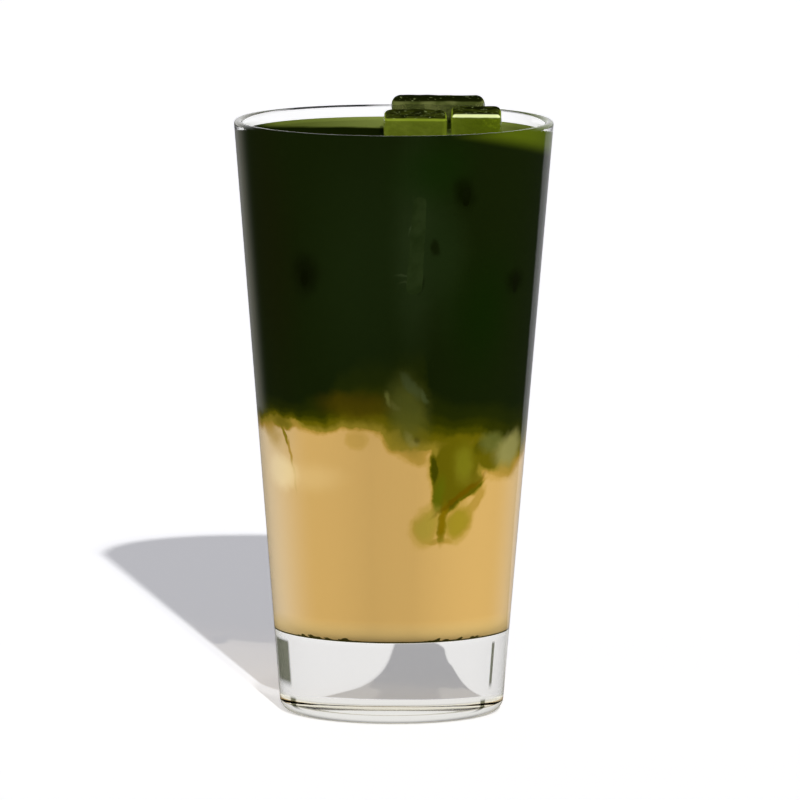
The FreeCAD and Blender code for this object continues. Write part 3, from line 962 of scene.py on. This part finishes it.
# painted light: the pale glow of the underside, given as emission
GLOWING_UNDERSIDE = paint(214, 211, 198)
GLOWING_UNDERSIDE_TOP = FLOOR_TOP + 0.06
BOUNCED_HEIGHTS = (34.0, 28.0)


def drink_material(name):
    material, tree, surface = new_material(name)
    place = object_place(tree)
    colour = place_group(tree, DRINK_COLOUR, {"Place": place})["Color"]
    height = tree.add("SeparateXYZ", {0: place}).outputs[2]
    path = tree.add("LightPath").outputs
    bounced = tree.math("GREATER_THAN", path["Ray Depth"], 1.5)
    bounced = tree.math("MULTIPLY", bounced, tree.math("SUBTRACT", 1.0, path["Is Diffuse Ray"]))
    bounced = tree.math("MULTIPLY", bounced, tree.step(height, *BOUNCED_HEIGHTS))
    under = tree.math("MAXIMUM", tree.math("LESS_THAN", height, GLOWING_UNDERSIDE_TOP), bounced)
    drink = principled(tree, {
        "Base Color": tree.mix(under, colour, GLOWING_UNDERSIDE),
        "Roughness": 0.5,
        "Specular IOR Level": 0.0,
        "Emission Color": tree.mix(under, (0, 0, 0, 1), GLOWING_UNDERSIDE),
        "Emission Strength": 1.0,
    })
    dim = tree.mix(tree.step(height, *DRINK_PASS_HEIGHTS), DRINK_PASS, (0, 0, 0, 1))
    clear = tree.add("BsdfTransparent", {"Color": dim}).outputs[0]
    shown = tree.add("MixShader", {0: path["Is Shadow Ray"], 1: drink, 2: clear}).outputs[0]
    tree.feed(surface, shown)
    material.cycles.emission_sampling = "NONE"
    return material


# %% [markdown]
# ## The drink's surface
# From above, the matcha has painted sunlight on it: it is lit green at the back, at the right and between
# the two front blocks of ice. In front and at the left the eye sinks into it, and it is nearly black. Two
# pieces could be modelled, but the real surface is one, so one material goes from painted light to deep by
# place, and a fine bump gives it froth.

# %% Surface material
# painted sunlight: the lit and the pale green
LIT_GREEN = paint(100, 112, 44)
PALE_GREEN = paint(140, 153, 74)
DEEP_GREEN = paint(22, 31, 2)
# places in mm for the painted sunlight: how far back it starts and is full, how much nearer it comes at the
# right, how near the gap between the blocks it shines, and where across its tone turns pale and turns back
LIT_BACK = (16.0, 23.0)
LIT_SLANT_FROM = 8
LIT_SLANT = 1.5
LIT_EDGE_GRAIN = 0.12
LIT_EDGE_SWING = 6.0
ICE_GAP = (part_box("ice_left")[1].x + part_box("ice_right")[0].x) / 2 / MM
ICE_GAP_REACH = (2.2, 1.0)
PALE_FROM = (-30.0, 2.0)
PALE_TO = (24.0, 34.0)
FROTH_GRAIN = 1.4
FROTH_STRENGTH = 0.15
FROTH_DEPTH = 0.3


def surface_material():
    material, tree, surface = new_material("matcha_surface")
    place = object_place(tree)
    x, y = tree.add("SeparateXYZ", {0: place}).outputs[:2]
    right = tree.math("MAXIMUM", tree.math("SUBTRACT", x, LIT_SLANT_FROM), 0.0)
    back = tree.math("MULTIPLY_ADD", right, LIT_SLANT, y)
    swing = tree.math("SUBTRACT", tree.noise(place, LIT_EDGE_GRAIN, 3.0), 0.5)
    back = tree.math("MULTIPLY_ADD", swing, LIT_EDGE_SWING, back)
    from_gap = tree.math("ABSOLUTE", tree.math("SUBTRACT", x, ICE_GAP))
    lit = tree.math("MAXIMUM", tree.step(back, *LIT_BACK), tree.step(from_gap, *ICE_GAP_REACH))
    tone = tree.mix(tree.step(x, *PALE_FROM), LIT_GREEN, PALE_GREEN)
    tone = tree.mix(tree.step(x, *PALE_TO), tone, LIT_GREEN)
    froth = tree.noise(place, FROTH_GRAIN, 3.0)
    bump = {"Strength": FROTH_STRENGTH, "Distance": FROTH_DEPTH, "Height": froth}
    tree.feed(surface, principled(tree, {
        "Base Color": tree.mix(lit, DEEP_GREEN, tone),
        "Roughness": 0.25,
        "Specular IOR Level": 0.0,
        "Normal": tree.add("Bump", bump).outputs[0],
    }))
    return material


# %% [markdown]
# ## Ice
# Three moulded blocks stand in the drink and break its surface. Each is a cube at the frame's size, with
# its corners bevelled and a dish in its top, and is then remeshed evenly so that a soft noise can melt it.
# Moving single points by hand would melt it too, but never so evenly.

# %% Ice blocks
ICE_CORNERS = {"ice_back": 2.2 * MM, "ice_right": 1.5 * MM, "ice_left": 1.7 * MM}
CORNER_STEPS = 4
DISH_EDGE = 2 * MM
DISH_DEPTH = 0.5 * MM
ICE_GRID = 0.5 * MM
SOFT_PASSES = 4
MELT_GRAIN = 6 * MM
MELT_DEPTH = 0.45 * MM


def melted(piece, grain):
    """Remeshes a block evenly and melts it unevenly."""
    even = piece.modifiers.new("even", "REMESH")
    even.mode = "VOXEL"
    even.voxel_size = ICE_GRID
    soft = piece.modifiers.new("soft", "SMOOTH")
    soft.iterations = SOFT_PASSES
    dents = piece.modifiers.new("melt", "DISPLACE")
    dents.texture = bpy.data.textures.new("melt", "CLOUDS")
    dents.texture.noise_scale = grain
    dents.texture_coords = "LOCAL"
    dents.strength = MELT_DEPTH
    finish_modifiers(piece)


def make_ice(name, corner):
    low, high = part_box(name)
    bpy.ops.object.select_all(action="DESELECT")
    bpy.ops.mesh.primitive_cube_add(size=1, location=(low + high) / 2, scale=high - low)
    block = bpy.context.object
    block.name = name + "_block"
    bpy.ops.object.transform_apply(location=True, scale=True)
    pick(block, "EDGE", lambda *ends: True)
    bpy.ops.mesh.bevel(offset=corner, segments=CORNER_STEPS, affect="EDGES")
    pick(block, "FACE", lambda centre, normal: normal.z > FACES_UP)
    bpy.ops.mesh.inset(thickness=DISH_EDGE)
    bpy.ops.transform.translate(value=(0, 0, -DISH_DEPTH))
    bpy.ops.object.mode_set(mode="OBJECT")
    melted(block, MELT_GRAIN)
    return block


ice_blocks = {name: make_ice(name, corner) for name, corner in ICE_CORNERS.items()}
print("ice blocks:", {name: len(block.data.vertices) for name, block in ice_blocks.items()}, "points")

# %% [markdown]
# ## Wet ice
# The tops are painted dark, as the eye looks down through them into the matcha, with a few painted glints
# as bright specks in them. The sides are painted green with the light that comes through, and the front
# edge of the right block has a painted glint of the sun. Clear ice alone would only show the dark, matt
# drink behind it, so its colours are laid on by place and by which way a face looks. Only the sides let
# light through. The tops have a material without any gloss, because at a glancing angle even dark ice would
# mirror the set.

# %% Ice colour
FRONT_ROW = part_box("ice_back")[0].y / MM - 1
# painted: the dark of the tops as seen down into the matcha, and the green of the sides with the light that
# comes through
ICE_TOPS = (paint(24, 29, 4), paint(62, 70, 18))
ICE_SIDES = (paint(140, 156, 48), paint(112, 130, 22))
ICE_BEHIND = (paint(104, 110, 60), paint(70, 78, 34))
PAINTED_SPECK_GLINT = paint(150, 164, 104)
ICE_GLINT = paint(240, 250, 180)
# the cloud and the trapped air: how fine each is, the noise levels from none to all, and its strength
ICE_CLOUD_GRAIN = 0.25
ICE_CLOUD_LEVELS = (0.38, 0.64)
ICE_CLOUD_ON_SIDES = 0.4
# the cloud and the painted glint specks: how fine each is, the noise levels from none to all, and its
# strength
SPECK_GLINT_GRAIN = 0.8
SPECK_GLINT_LEVELS = (0.64, 0.7)
SPECK_GLINT_STRENGTH = 0.7
# places across, in mm, where the sides go from the left tone to the right one
ICE_SIDES_ACROSS = (4.0, 26.0)
# how far a face looks up, from 0 to 1: the tops, and the rounded edge below them
ICE_TOP_TILT = (0.5, 0.75)
ICE_EDGE_TILT = (0.2, 0.35, 0.7, 0.9)
# how far a face looks back, from -1 to 1: the glint is on those that look to the front
GLINT_FACING = (-0.3, -0.5)
GLINT_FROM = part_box("ice_right")[0].x / MM - 0.7
GLINT_FULL = GLINT_FROM + 1


def ice_colour_group():
    inputs = {"Place": "Vector", "Normal": "Vector"}
    group, tree, entry, leave = new_group("ice colour", inputs, {"Color": "Color"})
    place = entry["Place"]
    x, y = tree.add("SeparateXYZ", {0: place}).outputs[:2]
    facing_back, up = tree.add("SeparateXYZ", {0: entry["Normal"]}).outputs[1:]
    cloud = tree.step(tree.noise(place, ICE_CLOUD_GRAIN, 3.0), *ICE_CLOUD_LEVELS)
    behind = tree.math("GREATER_THAN", y, FRONT_ROW)
    side = tree.mix(tree.step(x, *ICE_SIDES_ACROSS), *ICE_SIDES)
    side = tree.mix(tree.math("MULTIPLY", cloud, ICE_CLOUD_ON_SIDES), side, ICE_SIDES[1])
    side = tree.mix(behind, side, tree.mix(cloud, *ICE_BEHIND))
    top = tree.mix(behind, tree.mix(cloud, *ICE_TOPS), ICE_TOPS[0])
    # painted glints, as bright specks on the tops
    air = tree.step(tree.noise(place, SPECK_GLINT_GRAIN, 1.0), *SPECK_GLINT_LEVELS)
    top = tree.mix(tree.math("MULTIPLY", air, SPECK_GLINT_STRENGTH), top, PAINTED_SPECK_GLINT)
    colour = tree.mix(tree.step(up, *ICE_TOP_TILT), side, top)
    glint = tree.step(x, GLINT_FROM, GLINT_FULL)
    glint = tree.math("MULTIPLY", glint, tree.step(facing_back, *GLINT_FACING))
    glint = tree.math("MULTIPLY", glint, tree.math("SUBTRACT", 1.0, behind))
    glint = tree.math("MULTIPLY", glint, tree.between(up, *ICE_EDGE_TILT))
    tree.feed(leave.inputs["Color"], tree.mix(glint, colour, ICE_GLINT))
    return group


ICE_COLOUR = ice_colour_group()
print("ice colour:", len(ICE_COLOUR.nodes), "nodes")

# %% Ice materials
ICE_BEND = 1.31
ICE_CLEARNESS = 0.5
ICE_PASS = (0.7, 0.78, 0.5, 1)
ICE_GRAIN = 0.5
ICE_GRAIN_STRENGTH = 0.12
ICE_GRAIN_DEPTH = 0.5
TOP_FROM = 0.3


def ice_colour(tree):
    normal = tree.add("NewGeometry").outputs["Normal"]
    return place_group(tree, ICE_COLOUR, {"Place": object_place(tree), "Normal": normal})["Color"]


def ice_material():
    material, tree, surface = new_material("wet_ice")
    fine = tree.noise(object_place(tree), ICE_GRAIN, 2.0)
    bump = {"Strength": ICE_GRAIN_STRENGTH, "Distance": ICE_GRAIN_DEPTH, "Height": fine}
    ice = principled(tree, {
        "Base Color": ice_colour(tree),
        "Roughness": 0.12,
        "IOR": ICE_BEND,
        "Specular IOR Level": 0.1,
        "Transmission Weight": ICE_CLEARNESS,
        "Specular Tint": (0, 0, 0, 1),
        "Normal": tree.add("Bump", bump).outputs[0],
    })
    tree.feed(surface, lets_lamps_through(tree, ice, ICE_PASS))
    return material


def ice_top_material():
    material, tree, surface = new_material("dark_ice_top")
    tree.feed(surface, principled(tree, {
        "Base Color": ice_colour(tree),
        "Roughness": 0.3,
        "Specular IOR Level": 0.0,
    }))
    return material


wet_ice, ice_top = ice_material(), ice_top_material()
for name, block in ice_blocks.items():
    settle(block, wet_ice, "ice", name)
    block.data.materials.append(ice_top)
    for face in block.data.polygons:
        face.material_index = int(face.normal.z > TOP_FROM)

# %% [markdown]
# ## Sunk ice
# More ice hangs in the matcha, and only shows where a side or a corner touches the wall: one as a faint
# paler strip, the others as dark spots. Patches of colour alone would do from afar, but have no shape of
# their own. So each is a melted block stood on its edge at its own place, and what reaches past the wall
# is cut off flush with the drink.

# %% Sunk ice
# name: (angle, height, how far its nearest edge reaches past the wall, width, depth, tall, turn, tip)
SUNK_ICE = {
    "sunk_ice_front": (9, 127, 1.9, 13, 16, 26, 38, 5),
    "sunk_ice_high": (29, 139.5, 1.2, 16, 16, 6.5, 45, 8),
    "sunk_ice_left": (-38, 118, 1.2, 16, 16, 7, 45, 5),
    "sunk_ice_right": (58, 115.5, 1.2, 16, 16, 7, 45, 5),
}
SUNK_TONES = {
    "sunk_ice_front": (paint(38, 50, 22), paint(30, 42, 15)),
    "sunk_ice_high": (paint(10, 15, 1), paint(13, 19, 3)),
    "sunk_ice_left": (paint(10, 14, 1), paint(13, 19, 3)),
    "sunk_ice_right": (paint(10, 14, 1), paint(13, 19, 3)),
}
SUNK_CORNER = 1.6 * MM
SUNK_CORNER_STEPS = 3
SUNK_MELT_GRAIN = 5 * MM
SUNK_CLOUD_GRAIN = 0.22
SUNK_CLOUD_LEVELS = (0.36, 0.66)


def make_sunk_ice(name, angle, height, reach, width, depth, tall, turn, tip):
    """A melted block with its front edge just past the wall at an angle round the glass."""
    across, along = width / 2 * MM, depth / 2 * MM
    bpy.ops.object.select_all(action="DESELECT")
    bpy.ops.mesh.primitive_cube_add(size=1, scale=(2 * across, 2 * along, tall * MM))
    block = bpy.context.object
    block.name = name
    bpy.ops.object.transform_apply(scale=True)
    pick(block, "EDGE", lambda *ends: True)
    bpy.ops.mesh.bevel(offset=SUNK_CORNER, segments=SUNK_CORNER_STEPS, affect="EDGES")
    bpy.ops.object.mode_set(mode="OBJECT")
    melted(block, SUNK_MELT_GRAIN)
    corner = math.atan2(across, along)
    out = math.hypot(across, along) * math.cos(math.radians(turn) - corner)
    middle = bore(height * MM) + reach * MM - out
    block.rotation_euler = (math.radians(tip), 0, math.radians(angle + turn))
    around = math.radians(angle)
    block.location = (math.sin(around) * middle, -math.cos(around) * middle, height * MM)
    select_only(block)
    bpy.ops.object.transform_apply(location=True, rotation=True)
    return block


def sunk_ice_material(name, light, deep):
    material, tree, surface = new_material(name)
    cloud = tree.step(tree.noise(object_place(tree), SUNK_CLOUD_GRAIN, 3.0), *SUNK_CLOUD_LEVELS)
    tree.feed(surface, principled(tree, {
        "Base Color": tree.mix(cloud, light, deep),
        "Roughness": 0.3,
        "Specular IOR Level": 0.0,
    }))
    return material


# %% [markdown]
# ## The whole drink
# A real drink wets the wall, so its solid reaches a little way into the glass, and no air shows between
# them. It is a cone with a rounded foot, and a meniscus that climbs the wall at the top. In front a wet
# film stands higher up the wall, left there when the glass was moved, so the contact ring is drawn up in
# small steps towards the front. A second thin piece could make the film, but its edge would show.

# %% Whole drink
REACH = 0.15 * MM
MENISCUS_RISE = 0.8 * MM
MENISCUS_RUN = 2.2 * MM
MENISCUS_STEPS = 5
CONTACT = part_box("matcha")[1].z
LEVEL = CONTACT - MENISCUS_RISE
FILM_RISE = 2.6 * MM
FILM_STEPS = 8
# how far towards the front the last step starts, as a share of the radius
FILM_TO = 0.5


def make_fill():
    low = FLOOR_UP - REACH
    fill = cone("fill", low, CONTACT, bore(low) + REACH, bore(CONTACT) + REACH)
    run = MENISCUS_RUN + REACH
    last = CONTACT
    for step in range(1, MENISCUS_STEPS + 1):
        bpy.ops.mesh.inset(thickness=run / MENISCUS_STEPS)
        height = LEVEL + MENISCUS_RISE * (1 - step / MENISCUS_STEPS) ** 2
        bpy.ops.transform.translate(value=(0, 0, height - last))
        last = height
    round_ring(fill, low, bore(low) + REACH, FLOOR_ROUND, FLOOR_STEPS)
    wet_the_front(fill)
    bpy.ops.object.mode_set(mode="OBJECT")
    return fill


def wet_the_front(fill):
    """Draws the front of the contact ring up the wall, a little more at each step towards the front."""
    radius = bore(CONTACT) + REACH
    rise = FILM_RISE / FILM_STEPS
    for step in range(FILM_STEPS):
        nearer = -radius * FILM_TO * step / FILM_STEPS
        floor = CONTACT + rise * step - NEAR

        def in_film(a, b):
            return min(a.z, b.z) > floor and max(a.y, b.y) < nearer

        pick(fill, "EDGE", in_film)
        bpy.ops.transform.translate(value=(0, 0, rise))
        widen(1 + (bore(CONTACT + rise) - bore(CONTACT)) / radius)


lemonade = make_fill()
lemonade.name = "lemonade_layer"
print("whole drink: level at", round(LEVEL / MM, 2), "mm, film up to",
      round((CONTACT + FILM_RISE) / MM, 2), "mm")

# %% [markdown]
# ## Two layers
# The two layers share one seam, so they are cut from the one drink. The frame's lemonade, let out past the
# wall, is the cutter: what it shares with the drink is the lemonade, and what it leaves is the matcha. Two
# pieces modelled apart would leave a gap or cross each other there. Each block of ice then cuts its own
# pocket, a little smaller than the block, so that no empty sliver shows round it.

# %% Layers
CUTTER_SPREAD = 1.08
CUTTER_DROP = 6 * MM
CUTTER_MERGE = 0.002 * MM
POCKET_SHARE = 0.985


def copy_of(piece, name):
    """A copy of a piece with a mesh of its own."""
    copy = piece.copy()
    copy.data = piece.data.copy()
    copy.name = name
    copy.parent = None
    bpy.context.collection.objects.link(copy)
    return copy


def make_cutter():
    """The frame's lemonade, its points merged, spread past the wall and let down past the floor."""
    cutter = copy_of(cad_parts["lemonade"], "cutter")
    select_only(cutter)
    bpy.ops.mesh.customdata_custom_splitnormals_clear()
    bpy.ops.object.mode_set(mode="EDIT")
    bpy.ops.mesh.select_all(action="SELECT")
    bpy.ops.mesh.remove_doubles(threshold=CUTTER_MERGE)
    widen(CUTTER_SPREAD)
    pick(cutter, "FACE", lambda centre, normal: centre.z < FLOOR_UP + FLOOR_ROUND)
    bpy.ops.transform.translate(value=(0, 0, -CUTTER_DROP))
    bpy.ops.object.mode_set(mode="OBJECT")
    return cutter


def cut(piece, other, operation):
    """Cuts a piece with another, or keeps what they share."""
    step = piece.modifiers.new("cut", "BOOLEAN")
    step.operation = operation
    step.solver = "EXACT"
    step.object = other
    finish_modifiers(piece)


def remove(piece):
    bpy.data.objects.remove(piece, do_unlink=True)


matcha = copy_of(lemonade, "matcha_layer")
whole = copy_of(lemonade, "whole")
cutter = make_cutter()
cut(lemonade, cutter, "INTERSECT")
cut(matcha, cutter, "DIFFERENCE")
remove(cutter)
for name, block in ice_blocks.items():
    pocket = copy_of(block, "pocket")
    low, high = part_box(name)
    select_only(pocket)
    bpy.ops.object.mode_set(mode="EDIT")
    bpy.ops.mesh.select_all(action="SELECT")
    bpy.ops.transform.resize(value=(POCKET_SHARE,) * 3, center_override=(low + high) / 2)
    bpy.ops.object.mode_set(mode="OBJECT")
    cut(matcha, pocket, "DIFFERENCE")
    remove(pocket)
print("lemonade:", len(lemonade.data.vertices), "points, matcha:", len(matcha.data.vertices), "points")

# %% [markdown]
# ## Everything in its place
# The sunk ice cuts its pockets in the matcha and is itself cut by the whole drink, so it ends flush with
# the wall. Each piece then gets its material and its body, and takes the place of its own node in the frame
# where it has one. The top of the matcha has the surface's material, picked by its height and by facing up.

# %% Settle the drink
SURFACE_TILT = 0.3
SURFACE_SLACK = 0.1 * MM

sunk_pieces = {name: make_sunk_ice(name, *size) for name, size in SUNK_ICE.items()}
for name, block in sunk_pieces.items():
    cut(matcha, block, "DIFFERENCE")
    cut(block, whole, "INTERSECT")
    settle(block, sunk_ice_material(name, *SUNK_TONES[name]), "ice")
remove(whole)

drink = drink_material("layered_drink")
settle(lemonade, drink, "lemonade", "lemonade")
settle(matcha, drink, "matcha", "matcha")
matcha.data.materials.append(surface_material())
for face in matcha.data.polygons:
    if face.normal.z > SURFACE_TILT and face.center.z > LEVEL - SURFACE_SLACK:
        face.material_index = 1

# %% [markdown]
# ## The box round the finished pieces is measured.

# %% Measure the sizes
low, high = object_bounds()
